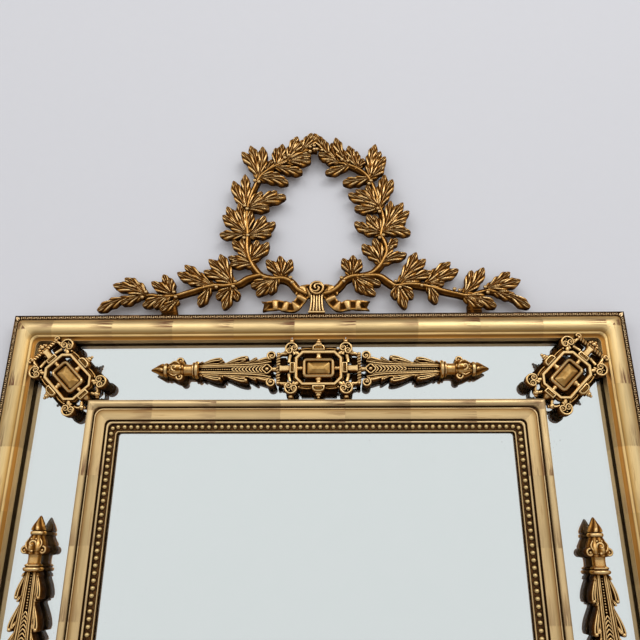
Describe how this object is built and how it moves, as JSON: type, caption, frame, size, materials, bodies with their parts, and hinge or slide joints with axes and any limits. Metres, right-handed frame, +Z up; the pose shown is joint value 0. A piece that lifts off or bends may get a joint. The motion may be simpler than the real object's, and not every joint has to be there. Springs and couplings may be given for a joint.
{
  "type": "wall mirror",
  "caption": "Rectangular wall mirror in a gilt wood frame with a mirror glass border, beaded inner frame, applied scroll ornaments and a pierced laurel wreath crest.",
  "frame": {"origin": "middle of the back of the rectangular frame, on the wall plane, halfway up the frame without its crest", "axes": "+X to the right seen from the front, +Z up, the front looks along -Y, the wall is the plane y = 0"},
  "size_m": [0.8, 0.038, 1.2274],
  "materials": {
    "gilt_wood": "worn gold leaf on carved wood, satin",
    "gilt_pearls": "gilt composition beads, satin",
    "gilt_metal": "aged gilt castings, satin",
    "gilt_crest": "aged gold leaf on carved wood, satin",
    "mirror_glass": "silvered glass",
    "plain_wood": "bare pine, matt",
    "steel": "plain zinc-coated steel"
  },
  "bodies": {
    "mirror": {"outer_rail_top": "gilt_wood", "inner_rail_top": "gilt_wood", "pearl_strip_top": "gilt_pearls", "margin_glass_top": "mirror_glass", "cartouche_top": "gilt_metal", "outer_rail_left": "gilt_wood", "inner_rail_left": "gilt_wood", "pearl_strip_left": "gilt_pearls", "margin_glass_left": "mirror_glass", "cartouche_left": "gilt_metal", "outer_rail_bottom": "gilt_wood", "inner_rail_bottom": "gilt_wood", "pearl_strip_bottom": "gilt_pearls", "margin_glass_bottom": "mirror_glass", "cartouche_bottom": "gilt_metal", "outer_rail_right": "gilt_wood", "inner_rail_right": "gilt_wood", "pearl_strip_right": "gilt_pearls", "margin_glass_right": "mirror_glass", "cartouche_right": "gilt_metal", "corner_ornament_top_left": "gilt_metal", "corner_ornament_bottom_left": "gilt_metal", "corner_ornament_bottom_right": "gilt_metal", "corner_ornament_top_right": "gilt_metal", "spray_top_left": "gilt_metal", "spray_top_right": "gilt_metal", "spray_left_bottom": "gilt_metal", "spray_left_top": "gilt_metal", "spray_bottom_right": "gilt_metal", "spray_bottom_left": "gilt_metal", "spray_right_top": "gilt_metal", "spray_right_bottom": "gilt_metal", "outer_corner_keys": "plain_wood", "inner_corner_keys": "plain_wood", "centre_glass": "mirror_glass", "backing_board": "plain_wood", "back_panel": "plain_wood", "panel_screws": "steel", "inner_frame_screws": "steel", "ornament_pins": "steel", "crest_wreath_left": "gilt_crest", "crest_wreath_right": "gilt_crest", "crest_spray_left": "gilt_crest", "crest_spray_right": "gilt_crest", "crest_bow": "gilt_crest", "crest_dowels": "plain_wood", "hanger_strap_left": "steel", "hanger_strap_right": "steel", "hanger_screws": "steel"},
    "ring_left": {"hanging_ring_left": "steel"},
    "ring_right": {"hanging_ring_right": "steel"}
  },
  "joints": [
    {"name": "ring_left_swing", "type": "hinge", "parent": "mirror", "child": "ring_left", "pos_m": [-0.38925, -0.00435, 0.3], "axis": [1, 0, 0], "range_deg": [0, 180]},
    {"name": "ring_right_swing", "type": "hinge", "parent": "mirror", "child": "ring_right", "pos_m": [0.38925, -0.00435, 0.3], "axis": [1, 0, 0], "range_deg": [0, 180]}
  ]
}
